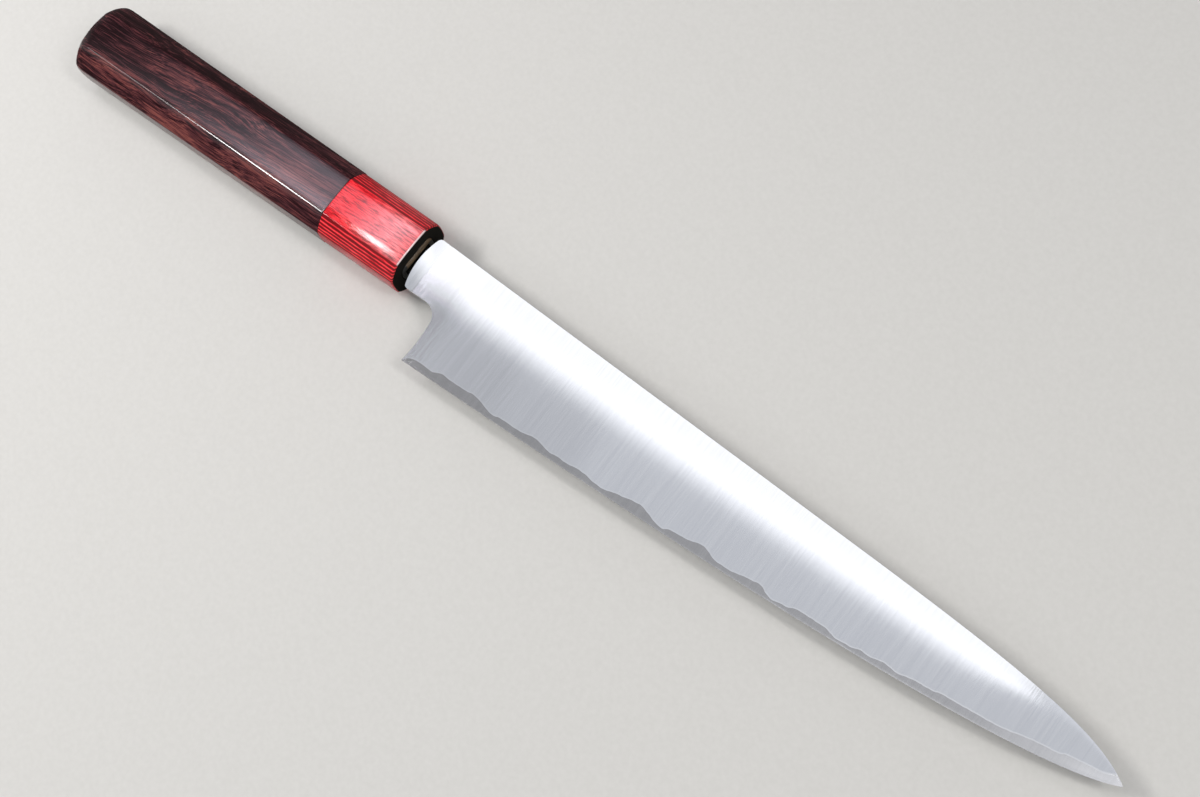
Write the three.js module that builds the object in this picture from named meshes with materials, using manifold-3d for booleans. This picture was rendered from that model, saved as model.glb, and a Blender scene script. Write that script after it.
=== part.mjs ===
// Slicing knife with a three-layer blade, an eight-sided wooden handle and a laminated wood ferrule.
// Millimetres. The knife lies on its left side: +X runs from the butt to the tip, +Y to the spine,
// +Z out of the blade's right side. The origin is the centre of the handle's butt face, and Z = 0
// is the middle plane of the blade.

import * as THREE from 'three';
import { mergeVertices } from 'three/addons/utils/BufferGeometryUtils.js';
import Module from 'manifold-3d';

// Handle: an octagon that grows from the ferrule's front to the butt
const HANDLE_LENGTH = 140.5;
const FERRULE_LENGTH = 31;
const FRONT_HEIGHT = 24;
const BUTT_HEIGHT = 26.8;
const FRONT_THICKNESS = 18.5;
const BUTT_THICKNESS = 20;
const BROAD_FACET_WIDTH = 14.2;
const ARRIS_RADIUS = 1.2;
const BUTT_CROWN_DEPTH = 1.6;
const BUTT_CROWN_INSET = 1.3;
const FERRULE_CHAMFER = 0.5;

// Inside the handle
const DOWEL_HEIGHT = 14.5;
const DOWEL_THICKNESS = 8.6;
const DOWEL_CORNER_RADIUS = 2.7;
const DOWEL_DEPTH_IN_BODY = 36;
const SEAL_DEPTH = 3;
const GLUE_GAP = 0.3;

// Tang and neck
const TANG_LENGTH = 90;
const TANG_ROOT_HEIGHT = 11;
const TANG_END_HEIGHT = 5.5;
const TANG_END_RADIUS = 1.5;
const SHOULDER_GAP = 2.2;
const SHOULDER_RAKE = 1.1;
const SHOULDER_RADIUS = 0.9;
const NECK_LENGTH = 16.8;
const NECK_HEIGHT = 18.9;
const CHOIL_RADIUS = 5.8;

// Blade outline
const EDGE_LENGTH = 240;
const HEEL_HEIGHT = 37.4;
const HEEL_BOW = 0.4;
const SPINE_ABOVE_AXIS = 9.2;
const SPINE_FALL_DEGREES = 1.84;
const SPINE_CURVE_LENGTH = 96;
const TIP_ABOVE_HEEL = 20.3;

// Shape of the two outline curves: slopes at their ends, and how far each end holds its slope
const EDGE_HEEL_SLOPE = 0.029;
const EDGE_TIP_SLOPE = 0.533;
const EDGE_HEEL_PULL = 0.436;
const EDGE_TIP_PULL = 0.099;
const SPINE_TIP_SLOPE = 0.715;
const SPINE_BACK_PULL = 0.61;
const SPINE_TIP_PULL = 0.124;

// Blade section
const STOCK_THICKNESS = 2.2;
const TIP_THICKNESS = 0.8;
const CORE_THICKNESS = 0.5;
const CLADDING_LIP = 0.05;
const GRIND_POWER = 1.7;
const GRIND_RUN_IN = 14;
const EDGE_BEVEL = 0.9;
const EDGE_LAND = 0.08;
const GRIND_START_ABOVE_SPINE = 0.5;

// The wavy line where the cladding ends: share of the blade length from the heel, and how much
// wider or narrower the bare strip of core steel is there than its mean width
const CORE_STRIP = 2.4;
const CORE_TIP_LENGTH = 2.7;
const LAMINATION_WAVES = [
  [0, -0.2], [0.05, 0.8], [0.1, 1], [0.16, -0.1], [0.205, 0.3], [0.275, -0.3], [0.318, -1.2],
  [0.364, 0.8], [0.405, -1.3], [0.453, 0.9], [0.482, -0.9], [0.59, -0.1], [0.62, 0.3], [0.65, -1.1],
  [0.71, 0.3], [0.73, -0.6], [0.785, 0.7], [0.855, -0.1], [0.905, 0.9], [0.955, 0.5],
];

// Fineness of the curves
const EDGE_STEPS = 28;
const SPINE_STEPS = 14;
const WAVE_STEPS = 3;
const ARC_STEPS = 4;
const ARRIS_STEPS = 2;
const GRIND_STEPS = 6;
const CUT_MARGIN = 4;
const ROUNDEST_CORNER = 0.9;

// Places that follow from the sizes above
const MOUTH_X = HANDLE_LENGTH;
const SEAM_X = HANDLE_LENGTH - FERRULE_LENGTH;
const DOWEL_END_X = SEAM_X - DOWEL_DEPTH_IN_BODY;
const TANG_END_X = MOUTH_X - TANG_LENGTH;
const HEEL_X = MOUTH_X + NECK_LENGTH;
const SPINE_SLOPE = -Math.tan(THREE.MathUtils.degToRad(SPINE_FALL_DEGREES));
const HEEL_Y = spineLineY(HEEL_X) - HEEL_HEIGHT;
const BLADE_LENGTH = Math.sqrt(EDGE_LENGTH ** 2 - TIP_ABOVE_HEEL ** 2);
const HEEL = new THREE.Vector2(HEEL_X, HEEL_Y);
const TIP = new THREE.Vector2(HEEL_X + BLADE_LENGTH, HEEL_Y + TIP_ABOVE_HEEL);

const wasm = await Module();
wasm.setup();

function spineLineY(x) {
  return SPINE_ABOVE_AXIS + SPINE_SLOPE * (x - MOUTH_X);
}

// Height on a row of points whose x grows, held level past its ends
function heightOn(points, x) {
  const next = points.findIndex((point) => point.x > x);
  if (next === 0) return points[0].y;
  if (next < 0) return points.at(-1).y;
  const [a, b] = [points[next - 1], points[next]];
  return THREE.MathUtils.lerp(a.y, b.y, (x - a.x) / (b.x - a.x));
}

// A cubic curve that leaves its start and reaches its end at a given slope
function slopedCurve(start, startSlope, startReach, end, endSlope, endReach, steps) {
  const leave = new THREE.Vector2(start.x + startReach, start.y + startReach * startSlope);
  const arrive = new THREE.Vector2(end.x - endReach, end.y - endReach * endSlope);
  return new THREE.CubicBezierCurve(start, leave, arrive, end).getPoints(steps);
}

// Corners given as x, y and radius become a row of points with arcs at the corners
function roundedCorners(corners, steps) {
  const count = corners.length;
  return corners.flatMap(([x, y, radius], index) => {
    const corner = new THREE.Vector2(x, y);
    if (!radius) return [corner];
    const before = new THREE.Vector2(...corners[(index + count - 1) % count]).sub(corner).normalize();
    const after = new THREE.Vector2(...corners[(index + 1) % count]).sub(corner).normalize();
    const half = Math.acos(THREE.MathUtils.clamp(before.dot(after), -1, 1)) / 2;
    const middle = before.clone().add(after).normalize();
    const centre = corner.clone().addScaledVector(middle, radius / Math.sin(half));
    const from = corner.clone().addScaledVector(before, radius / Math.tan(half)).sub(centre);
    const turn = (Math.PI - 2 * half) * Math.sign(after.cross(before));
    return Array.from({ length: steps + 1 }, (_, step) =>
      from.clone().rotateAround(new THREE.Vector2(), (turn * step) / steps).add(centre));
  });
}

// A closed solid through sections that stand square to X, each a row of [y, z] points
function loft(sections) {
  const size = sections[0].outline.length;
  const positions = sections.flatMap(({ x, outline }) => outline.flatMap((point) => [x, point.x, point.y]));
  const indices = [];
  for (let ring = 0; ring + 1 < sections.length; ring += 1) {
    for (let i = 0; i < size; i += 1) {
      const a = ring * size + i;
      const b = ring * size + ((i + 1) % size);
      indices.push(a, b, a + size, b, b + size, a + size);
    }
  }
  const last = size * (sections.length - 1);
  for (const [a, b, c] of THREE.ShapeUtils.triangulateShape(sections[0].outline, [])) {
    indices.push(a, c, b);
  }
  for (const [a, b, c] of THREE.ShapeUtils.triangulateShape(sections.at(-1).outline, [])) {
    indices.push(last + a, last + b, last + c);
  }
  const geometry = new THREE.BufferGeometry();
  geometry.setAttribute('position', new THREE.Float32BufferAttribute(positions, 3));
  geometry.setIndex(indices);
  return geometry;
}

// A flat plate of a given outline between two heights
function plate(outline, bottom, top) {
  const shape = new THREE.Shape(outline);
  const geometry = new THREE.ExtrudeGeometry(shape, { depth: top - bottom, bevelEnabled: false });
  return geometry.translate(0, 0, bottom);
}

function solid(geometry) {
  const bare = geometry.clone();
  bare.deleteAttribute('normal');
  bare.deleteAttribute('uv');
  const merged = mergeVertices(bare, 1e-5);
  return new wasm.Manifold(new wasm.Mesh({
    numProp: 3,
    vertProperties: new Float32Array(merged.attributes.position.array),
    triVerts: new Uint32Array(merged.index.array),
  }));
}

function geometryOf(body) {
  const { vertProperties, triVerts } = body.getMesh();
  const geometry = new THREE.BufferGeometry();
  geometry.setAttribute('position', new THREE.BufferAttribute(vertProperties, 3));
  geometry.setIndex(new THREE.BufferAttribute(triVerts, 1));
  return geometry;
}

// Handle sections

// The handle's octagon at a place along the axis, drawn in by an inset all round
function octagon(x, inset = 0) {
  const along = x / HANDLE_LENGTH;
  const halfHeight = THREE.MathUtils.lerp(BUTT_HEIGHT, FRONT_HEIGHT, along) / 2 - inset;
  const halfThickness = THREE.MathUtils.lerp(BUTT_THICKNESS, FRONT_THICKNESS, along) / 2 - inset;
  const halfFacet = BROAD_FACET_WIDTH / 2 - inset * Math.tan(Math.PI / 8);
  const sideFacet = halfThickness - (halfHeight - halfFacet);
  const corners = [
    [halfHeight, -sideFacet], [halfHeight, sideFacet], [halfFacet, halfThickness],
    [-halfFacet, halfThickness], [-halfHeight, sideFacet], [-halfHeight, -sideFacet],
    [-halfFacet, -halfThickness], [halfFacet, -halfThickness],
  ];
  const outline = roundedCorners(corners.map((corner) => [...corner, ARRIS_RADIUS]), ARRIS_STEPS);
  return { x, outline };
}

// The dowel's section, grown all round; its round corners never meet
function dowelSection(x, grown = 0) {
  const [y, z] = [DOWEL_HEIGHT / 2 + grown, DOWEL_THICKNESS / 2 + grown];
  const radius = Math.min(DOWEL_CORNER_RADIUS + grown, ROUNDEST_CORNER * Math.min(y, z));
  const corners = [[y, -z, radius], [y, z, radius], [-y, z, radius], [-y, -z, radius]];
  return { x, outline: roundedCorners(corners, ARC_STEPS) };
}

function rectangle(x, height, thickness) {
  const [y, z] = [height / 2, thickness / 2];
  return { x, outline: roundedCorners([[y, -z], [y, z], [-y, z], [-y, -z]], 0) };
}

function tangHeightAt(x) {
  return THREE.MathUtils.mapLinear(x, TANG_END_X, MOUTH_X, TANG_END_HEIGHT, TANG_ROOT_HEIGHT);
}

// The room that the tang needs, from just outside the mouth to past its end
function tangRoom() {
  const ends = [TANG_END_X - GLUE_GAP, MOUTH_X + CUT_MARGIN];
  const grown = STOCK_THICKNESS + 2 * GLUE_GAP;
  return solid(loft(ends.map((x) => rectangle(x, tangHeightAt(x) + 2 * GLUE_GAP, grown))));
}

// The room that the dowel and the seal need, from past the dowel's end to just outside the mouth
function dowelRoom() {
  const ends = [DOWEL_END_X - GLUE_GAP, MOUTH_X + CUT_MARGIN];
  return solid(loft(ends.map((x) => dowelSection(x, GLUE_GAP))));
}

function handleBody() {
  const crown = [[0, 1], [0.3, 0.4], [1, 0]];
  const sections = crown.map(([depth, inset]) =>
    octagon(depth * BUTT_CROWN_DEPTH, inset * BUTT_CROWN_INSET));
  const outside = solid(loft([...sections, octagon(SEAM_X)]));
  return geometryOf(outside.subtract(dowelRoom()).subtract(tangRoom()));
}

function ferrule() {
  const sections = [octagon(SEAM_X), octagon(MOUTH_X - FERRULE_CHAMFER), octagon(MOUTH_X, FERRULE_CHAMFER)];
  return geometryOf(solid(loft(sections)).subtract(dowelRoom()));
}

function handleDowel() {
  const ends = [DOWEL_END_X, MOUTH_X - SEAL_DEPTH];
  const stick = solid(loft(ends.map((x) => dowelSection(x))));
  return geometryOf(stick.subtract(tangRoom()));
}

function mouthSeal() {
  const ends = [MOUTH_X - SEAL_DEPTH, MOUTH_X];
  const plug = solid(loft(ends.map((x) => dowelSection(x))));
  return geometryOf(plug.subtract(tangRoom()));
}

// Blade outlines

const spineCurveStart = new THREE.Vector2(TIP.x - SPINE_CURVE_LENGTH, spineLineY(TIP.x - SPINE_CURVE_LENGTH));
const spineCurve = slopedCurve(
  spineCurveStart, SPINE_SLOPE, SPINE_BACK_PULL * SPINE_CURVE_LENGTH,
  TIP, -SPINE_TIP_SLOPE, SPINE_TIP_PULL * SPINE_CURVE_LENGTH, SPINE_STEPS,
);
const edgeCurve = slopedCurve(
  HEEL, EDGE_HEEL_SLOPE, EDGE_HEEL_PULL * BLADE_LENGTH,
  TIP, EDGE_TIP_SLOPE, EDGE_TIP_PULL * BLADE_LENGTH, EDGE_STEPS,
);
const shoulderX = MOUTH_X + SHOULDER_GAP;
const spinePoints = [new THREE.Vector2(shoulderX, spineLineY(shoulderX)), ...spineCurve];

// The cladding's lower border, from the heel to where it runs out on the spine behind the tip
function laminationLine() {
  const wave = LAMINATION_WAVES.map(([share, wider]) => {
    const x = HEEL_X + share * BLADE_LENGTH;
    return new THREE.Vector2(x, heightOn(edgeCurve, x) + CORE_STRIP + wider);
  });
  const endX = TIP.x - CORE_TIP_LENGTH;
  const end = new THREE.Vector2(endX, heightOn(spinePoints, endX));
  return new THREE.SplineCurve([...wave, end]).getPoints(wave.length * WAVE_STEPS);
}

// Tang, shoulders, neck and choil, from the choil's foot at the heel round to the top shoulder
function tangAndNeck(heelFoot) {
  const neckBottom = spineLineY(MOUTH_X) - NECK_HEIGHT;
  const rootX = shoulderX - SHOULDER_RAKE;
  const [root, end] = [TANG_ROOT_HEIGHT / 2, TANG_END_HEIGHT / 2];
  const bowX = HEEL_X + HEEL_BOW;
  const corners = [
    [heelFoot.x, heelFoot.y, 0],
    [bowX, (heelFoot.y + neckBottom) / 2, 0],
    [HEEL_X, neckBottom, CHOIL_RADIUS],
    [shoulderX, neckBottom, SHOULDER_RADIUS],
    [rootX, -root, SHOULDER_RADIUS / 2],
    [TANG_END_X, -end, TANG_END_RADIUS],
    [TANG_END_X, end, TANG_END_RADIUS],
    [rootX, root, SHOULDER_RADIUS / 2],
    [shoulderX, spineLineY(shoulderX), SHOULDER_RADIUS],
    [spineCurveStart.x, spineCurveStart.y, 0],
  ];
  return roundedCorners(corners, ARC_STEPS);
}

// Where the blade's surface stands over the middle plane

function spineHalfThickness(x) {
  const half = THREE.MathUtils.mapLinear(x, HEEL_X, TIP.x, STOCK_THICKNESS / 2, TIP_THICKNESS / 2);
  return THREE.MathUtils.clamp(half, TIP_THICKNESS / 2, STOCK_THICKNESS / 2);
}

// Stations along the blade: the tang's end, the mouth, each point of the edge, and past the tip
const stations = [
  TANG_END_X - CUT_MARGIN, MOUTH_X, ...edgeCurve.map((point) => point.x), TIP.x + CUT_MARGIN,
];

function spineTopAt(x) {
  return x < spineCurveStart.x ? spineLineY(x) : heightOn(spinePoints, x);
}

// The ground side of the blade: full stock at the tang, a convex fall to the edge past the heel
function grindRoom() {
  const lip = CORE_THICKNESS / 2 + CLADDING_LIP;
  const sections = stations.map((x) => {
    const ground = THREE.MathUtils.smoothstep(x, MOUTH_X, HEEL_X + GRIND_RUN_IN);
    const top = spineTopAt(x) + GRIND_START_ABOVE_SPINE;
    const low = heightOn(edgeCurve, x) + EDGE_BEVEL;
    const full = spineHalfThickness(x);
    const fall = Array.from({ length: GRIND_STEPS + 1 }, (_, step) => {
      const down = step / GRIND_STEPS;
      const z = THREE.MathUtils.lerp(full, lip, ground * down ** GRIND_POWER);
      return new THREE.Vector2(THREE.MathUtils.lerp(top, low, down), z);
    });
    const outline = [
      new THREE.Vector2(low - CUT_MARGIN, 0), new THREE.Vector2(top + CUT_MARGIN, 0),
      new THREE.Vector2(top + CUT_MARGIN, full), ...fall,
      new THREE.Vector2(low - CUT_MARGIN, fall.at(-1).y),
    ];
    return { x, outline };
  });
  return solid(loft(sections));
}

// The room between the two faces of the edge bevel
function bevelRoom() {
  const land = EDGE_LAND / 2;
  const rise = (CORE_THICKNESS / 2 - land) / EDGE_BEVEL;
  const sections = stations.map((x) => {
    const low = heightOn(edgeCurve, x);
    const top = spineTopAt(x) + CUT_MARGIN;
    const wide = land + rise * (top - low);
    const half = [[low - CUT_MARGIN, land], [low, land], [top, wide]];
    const right = half.map(([y, z]) => new THREE.Vector2(y, z)).reverse();
    const left = half.map(([y, z]) => new THREE.Vector2(y, -z));
    return { x, outline: [...left, ...right] };
  });
  return solid(loft(sections));
}

function coreSteel() {
  const outline = [...tangAndNeck(HEEL), ...spineCurve.slice(1, -1), ...edgeCurve.slice(1).reverse()];
  const sheet = solid(plate(outline, -CORE_THICKNESS / 2, CORE_THICKNESS / 2));
  return geometryOf(sheet.intersect(bevelRoom()));
}

function rightCladding() {
  const border = laminationLine();
  const end = border.at(-1);
  const spine = spineCurve.slice(1).filter((point) => point.x < end.x);
  const outline = [...tangAndNeck(border[0]), ...spine, ...border.slice(1).reverse()];
  const sheet = solid(plate(outline, CORE_THICKNESS / 2, STOCK_THICKNESS));
  return geometryOf(sheet.intersect(grindRoom()));
}

// The same sheet turned over to the other side of the core
function leftCladding() {
  const geometry = rightCladding().scale(1, 1, -1);
  const order = geometry.index.array;
  for (let i = 0; i < order.length; i += 3) {
    [order[i + 1], order[i + 2]] = [order[i + 2], order[i + 1]];
  }
  return geometry;
}

// Finishes
const coreFinish = new THREE.MeshStandardMaterial({ color: 0x9a9da3, roughness: 0.32, metalness: 1 });
const claddingFinish = new THREE.MeshStandardMaterial({ color: 0xc4c8cf, roughness: 0.4, metalness: 1 });
const redVeneer = new THREE.MeshStandardMaterial({ color: 0xc22a33, roughness: 0.3, metalness: 0 });
const rosewood = new THREE.MeshStandardMaterial({ color: 0x3a2023, roughness: 0.3, metalness: 0 });
const paleWood = new THREE.MeshStandardMaterial({ color: 0xb08a5c, roughness: 0.7, metalness: 0 });
const brownResin = new THREE.MeshStandardMaterial({ color: 0x6a4a2c, roughness: 0.5, metalness: 0 });

function piece(name, geometry, material) {
  geometry.computeVertexNormals();
  const mesh = new THREE.Mesh(geometry, material);
  mesh.name = name;
  return mesh;
}

const blade = new THREE.Group();
blade.add(
  piece('core_steel', coreSteel(), coreFinish),
  piece('right_cladding', rightCladding(), claddingFinish),
  piece('left_cladding', leftCladding(), claddingFinish),
);

const handle = new THREE.Group();
handle.add(
  piece('ferrule', ferrule(), redVeneer),
  piece('handle_body', handleBody(), rosewood),
  piece('handle_dowel', handleDowel(), paleWood),
  piece('mouth_seal', mouthSeal(), brownResin),
);

const knife = new THREE.Group();
knife.add(blade, handle);

export default knife;
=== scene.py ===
"""Looks of a slicing knife: layered steel blade, red laminated ferrule, eight-sided rosewood handle.

Metres. +X runs from the butt to the tip, +Y to the spine and +Z out of the right side of the blade.
"""
import math

import bmesh
import bpy
import numpy as np
from mathutils import Matrix, Vector
from mathutils.geometry import interpolate_bezier


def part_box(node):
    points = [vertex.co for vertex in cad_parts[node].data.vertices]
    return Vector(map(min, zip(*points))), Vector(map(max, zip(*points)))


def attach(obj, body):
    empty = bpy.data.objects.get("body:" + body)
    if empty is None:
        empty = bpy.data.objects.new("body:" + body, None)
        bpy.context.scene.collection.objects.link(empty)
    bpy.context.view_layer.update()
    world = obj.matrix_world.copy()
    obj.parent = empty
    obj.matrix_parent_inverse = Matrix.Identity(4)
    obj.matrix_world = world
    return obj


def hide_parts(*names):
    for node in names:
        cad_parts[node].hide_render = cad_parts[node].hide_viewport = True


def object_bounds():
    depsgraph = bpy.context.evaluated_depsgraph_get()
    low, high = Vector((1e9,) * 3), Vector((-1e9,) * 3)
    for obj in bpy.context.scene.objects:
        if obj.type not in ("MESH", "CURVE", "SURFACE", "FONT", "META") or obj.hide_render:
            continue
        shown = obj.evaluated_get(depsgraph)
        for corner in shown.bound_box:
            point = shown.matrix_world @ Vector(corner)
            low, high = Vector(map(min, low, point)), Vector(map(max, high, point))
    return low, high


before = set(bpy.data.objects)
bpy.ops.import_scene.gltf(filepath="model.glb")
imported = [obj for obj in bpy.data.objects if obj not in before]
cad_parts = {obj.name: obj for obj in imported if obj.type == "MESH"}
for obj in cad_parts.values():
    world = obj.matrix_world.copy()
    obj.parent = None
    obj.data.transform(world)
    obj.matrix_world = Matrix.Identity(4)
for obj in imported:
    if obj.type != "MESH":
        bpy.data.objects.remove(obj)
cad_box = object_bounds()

MM = 0.001

# Places that the frame gives
core_low, core_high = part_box("core_steel")
cladding_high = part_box("right_cladding")[1]
ferrule_low, ferrule_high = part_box("ferrule")
body_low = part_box("handle_body")[0]
seal_low, seal_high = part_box("mouth_seal")
TANG_END_X = core_low.x
SEAM_X = ferrule_low.x
MOUTH_X = ferrule_high.x
TIP_X = core_high.x
LINE_END_X = cladding_high.x
EDGE_LOW_Y = core_low.y
CORE_HALF = core_high.z
STOCK_HALF = cladding_high.z
FLOOR_Z = cad_box[0].z

# Blade outline
NECK_LENGTH = 16.8 * MM
NECK_HEIGHT = 18.9 * MM
CHOIL_RADIUS = 5.8 * MM
SHOULDER_GAP = 2.2 * MM
SHOULDER_BOW = 1.5 * MM
SHOULDER_HALF = 9 * MM
SHOULDER_RADIUS = 0.9 * MM
TANG_ROOT_HALF = 5.5 * MM
TANG_END_HALF = 2.75 * MM
TANG_END_RADIUS = 1.5 * MM
HEEL_BOW = 0.4 * MM
SPINE_ABOVE_AXIS = 9.2 * MM
SPINE_SLOPE = -math.tan(math.radians(1.84))
SPINE_CURVE_LENGTH = 96 * MM
TIP_ABOVE_HEEL = 20.3 * MM
EDGE_HEEL_SLOPE = 0.029
EDGE_TIP_SLOPE = 0.533
EDGE_HEEL_PULL = 0.436
EDGE_TIP_PULL = 0.099
SPINE_TIP_SLOPE = -0.715
SPINE_BACK_PULL = 0.61
SPINE_TIP_PULL = 0.124
HEEL_X = MOUTH_X + NECK_LENGTH
BLADE_LENGTH = TIP_X - HEEL_X

# Blade section
TIP_HALF = 0.4 * MM
EDGE_HALF = 0.03 * MM
LEAST_HEIGHT = 0.1 * MM
GRIND_POWER = 1.7
GRIND_RUN_IN = 14 * MM
TIP_FALL = 0.035
NECK_GRIND = 0.22
NECK_FLARE = 0.62 * MM
NECK_FLARE_LENGTH = 5.5 * MM
NECK_STEP = 0.2 * MM
CLADDING_LIP = 0.02 * MM
LAYER_GAP = 0.005 * MM

# The wavy border of the cladding: millimetres from the heel, and the width of the bare strip there
LAMINATION_LINE = (
    (0, 0.2), (0.7, 0.9), (1.5, 1.7), (3.6, 2.35), (6.8, 2.45), (10.2, 2.2), (11.3, 2.6), (12.6, 3.15),
    (14, 3.4), (16.3, 3.15), (19.5, 3.15), (23.3, 3.2), (25.4, 3.5), (27.5, 3.2), (30.2, 2.5), (32.3, 1.85),
    (34.7, 1.55), (37.1, 2.05), (43.5, 2), (46.7, 2.4), (48.8, 2.85), (50.9, 2.65), (53.1, 2.2), (54.6, 1.8),
    (56.2, 1.7), (58.7, 1.95), (61.9, 1.75), (65.6, 2.2), (69.3, 2), (71.5, 1.55), (75.2, 1.35), (76.8, 1.6),
    (79.2, 2.3), (81.6, 2.6), (84.2, 3.15), (87.7, 3.45), (89.6, 3), (91.7, 2.3), (94.3, 1.45), (96.7, 1.1),
    (98.1, 1.75), (99.7, 2.1), (103.4, 2.3), (105.8, 2.6), (107.6, 3.15), (109.2, 3.35), (111.4, 2.95),
    (113.5, 2), (115.1, 1.6), (120.2, 1.5), (122.3, 1.85), (124.5, 2.25), (127.1, 2.5), (129, 2.75),
    (130.6, 2.4), (131.9, 1.55), (134.6, 0.8), (137.2, 1.25), (139.6, 1.35), (141.2, 2.15), (144.1, 2.25),
    (148.4, 2.15), (151.6, 2), (153.7, 1.35), (155.3, 0.95), (158, 1.1), (160.4, 1.15), (162.8, 1.8),
    (165.4, 1.45), (167.5, 1.8), (170.2, 2.1), (172.9, 1.65), (174.5, 1.45), (177.1, 1.85), (179.2, 2.15),
    (184.9, 2.15), (187, 2.6), (192.3, 2.5), (197.7, 2.45), (203, 2.3), (207.2, 2.5), (211, 2.95),
    (215.7, 3.15), (221.1, 2.95), (222.4, 3.45), (225.8, 3.3), (229.6, 3.05), (232.8, 2.6),
)
RIPPLE_HEIGHT = 0.03 * MM
RIPPLE_LENGTHS = (2.3 * MM, 3.7 * MM)
RIPPLE_FADE = 20 * MM

# Steel: depth of the grinding lines, the stretch over which the painted highlight along the border grows
# clearer, and the stretches over which painted light makes the core strip brighter, each with its start, end
# and gain
SATIN_DEPTH = 0.0045 * MM
BORDER_HIGHLIGHT_STRETCH = (0.26, 0.34)
CORE_PAINTED_LIGHT = ((0.16, 0.185, 0.08), (0.24, 0.36, 0.11), (0.35, 0.372, 0.16), (0.372, 0.396, 0.16))

# Fineness of the blade's surface
CURVE_STEPS = 200
WAVE_STEPS = 6
BLADE_COLUMNS = 420
TIP_COLUMNS = 8
CHOIL_STEPS = 8
NECK_STEPS = 9
FLARE_STEPS = 4
UPPER_SHARES = (0, 0.012, 0.05, 0.12, 0.19, 0.3, 0.42, 0.54, 0.66, 0.777, 0.85, 0.95, 0.988, 1)
LOWER_SHARES = (0, 0.25, 0.5, 0.7, 0.84, 0.93, 0.975, 1)
STRIP_SHARES = (0, 0.1, 0.3, 0.6, 0.85, 1)
TANG_ROOT_ROWS = (4, 9)
CORNER_DIGITS = 5

# Where two faces meet at more than this angle, their border stays sharp
SHARP_ANGLE = math.radians(40)

# Handle: an octagon that grows towards the butt
HANDLE_LENGTH = MOUTH_X
FRONT_HEIGHT = 24 * MM
BUTT_HEIGHT = 26.8 * MM
FRONT_THICKNESS = 18.5 * MM
BUTT_THICKNESS = 20 * MM
BROAD_FACET_WIDTH = 14.2 * MM
ARRIS_RADIUS = 1.2 * MM
BUTT_ROUND_DEPTH = 4 * MM
BUTT_ROUND_INSET = 0.5 * MM
FERRULE_ROUNDING = 0.7 * MM
FERRULE_CROWN = 0.3 * MM
BODY_CROWN = 0.12 * MM
SEAM_EASE = 0.06 * MM
GLUE_GAP = 0.3 * MM
SEAL_CORNER_RADIUS = 2.7 * MM

# Camera of the photograph, its lens and sensor in millimetres
CAMERA_PLACE = Vector((372.2, -85.8, 484.7)) * MM
CAMERA_AIM = Vector((215.1, -3.3, 0)) * MM
CAMERA_ROLL = math.radians(-37.89)
CAMERA_LENS = 52.13
CAMERA_SENSOR = 36
CAMERA_NEAR = 0.01

# Floor, which runs over into the room between two distances from the knife
FLOOR_REACH = 3.0
FLOOR_GAP = 0.02 * MM
FLOOR_FADE = (0.4, 0.85)

# Pale room that the camera sees past the floor, and the share of its colour in reflections of the walls
ROOM_COLOUR = (0.66, 0.65, 0.63)
ROOM_REFLECTED = 0.5

# Light from the walls and from overhead, with the rise of a direction where each of them ends
WALL_LIGHT = (0.46, 0.47, 0.48)
OVERHEAD_LIGHT = (0.15, 0.155, 0.16)
WALL_TOP = 0.5
OVERHEAD_RIM = 0.75

# Lamps hang level and face down; an area lamp's power is this number times its radiance and its area
LAMP_POWER = 4
LAMP_HEIGHT = 0.8
WHITE = (1, 1, 1)
COOL = (0.93, 0.955, 1.0)

# Softbox over the spine's side, whose lower edge fades out in strips that end further and further back
SOFTBOX_RADIANCE = 0.92
SOFTBOX_BACK = -0.235
SOFTBOX_FRONT = 0.355
SOFTBOX_FAR = 0.40
SOFTBOX_EDGE = 0.0912
SOFTBOX_BLUR = 0.034
SOFTBOX_STEPS = 5
SOFTBOX_SLANT = 0.012
SOFTBOX_TURN = 0.012

# Grey panels beside it: back, front and radiance
GREY_PANELS = ((-0.196, -0.11, 0.225), (-0.11, -0.03, 0.28), (-0.03, 1.5, 0.36))
GREY_PANEL_NEAR = -1.5
GREY_PANEL_FAR = 0.12
GREY_PANEL_HEIGHT = 0.82

# Lamps for single reflections: name, two corners, radiance and colour
SMALL_LAMPS = (
    ("tip_panel", (0.36, 0.12, 0.82), (0.8, 0.4, 0.82), 0.5, COOL),
    ("ferrule_glint", (-0.262, -0.012, 0.78), (-0.238, 0.036, 0.78), 42, WHITE),
    ("rim_glint", (0.55, 0.08, 0.8), (0.95, 0.2, 0.8), 14, WHITE),
    ("tip_glow", (0.25, -0.15, 0.79), (0.46, -0.03, 0.79), 0.25, WHITE),
    ("tip_spark", (0.415, -0.15, 0.785), (0.52, 0.03, 0.785), 0.12, WHITE),
    ("arris_strip", (-0.455, -0.42, 0.8), (-0.33, -0.07, 0.8), 38, WHITE),
    ("arris_fade", (-0.62, -0.38, 0.8), (-0.455, -0.1, 0.8), 4, WHITE),
)

# Row of lamps over the butt, dimmer with the distance, whose reflection fades along the handle
SHEEN_COLOUR = (0.89, 0.83, 0.96)
SHEEN_NEAR = 0.04
SHEEN_FAR = 0.3
SHEEN = (
    (-0.272, -0.248, 7), (-0.297, -0.272, 4.8), (-0.335, -0.297, 4.5), (-0.375, -0.335, 4.3),
    (-0.415, -0.375, 3), (-0.455, -0.415, 1.6), (-0.495, -0.455, 0.9), (-0.535, -0.495, 0.4),
)


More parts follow.
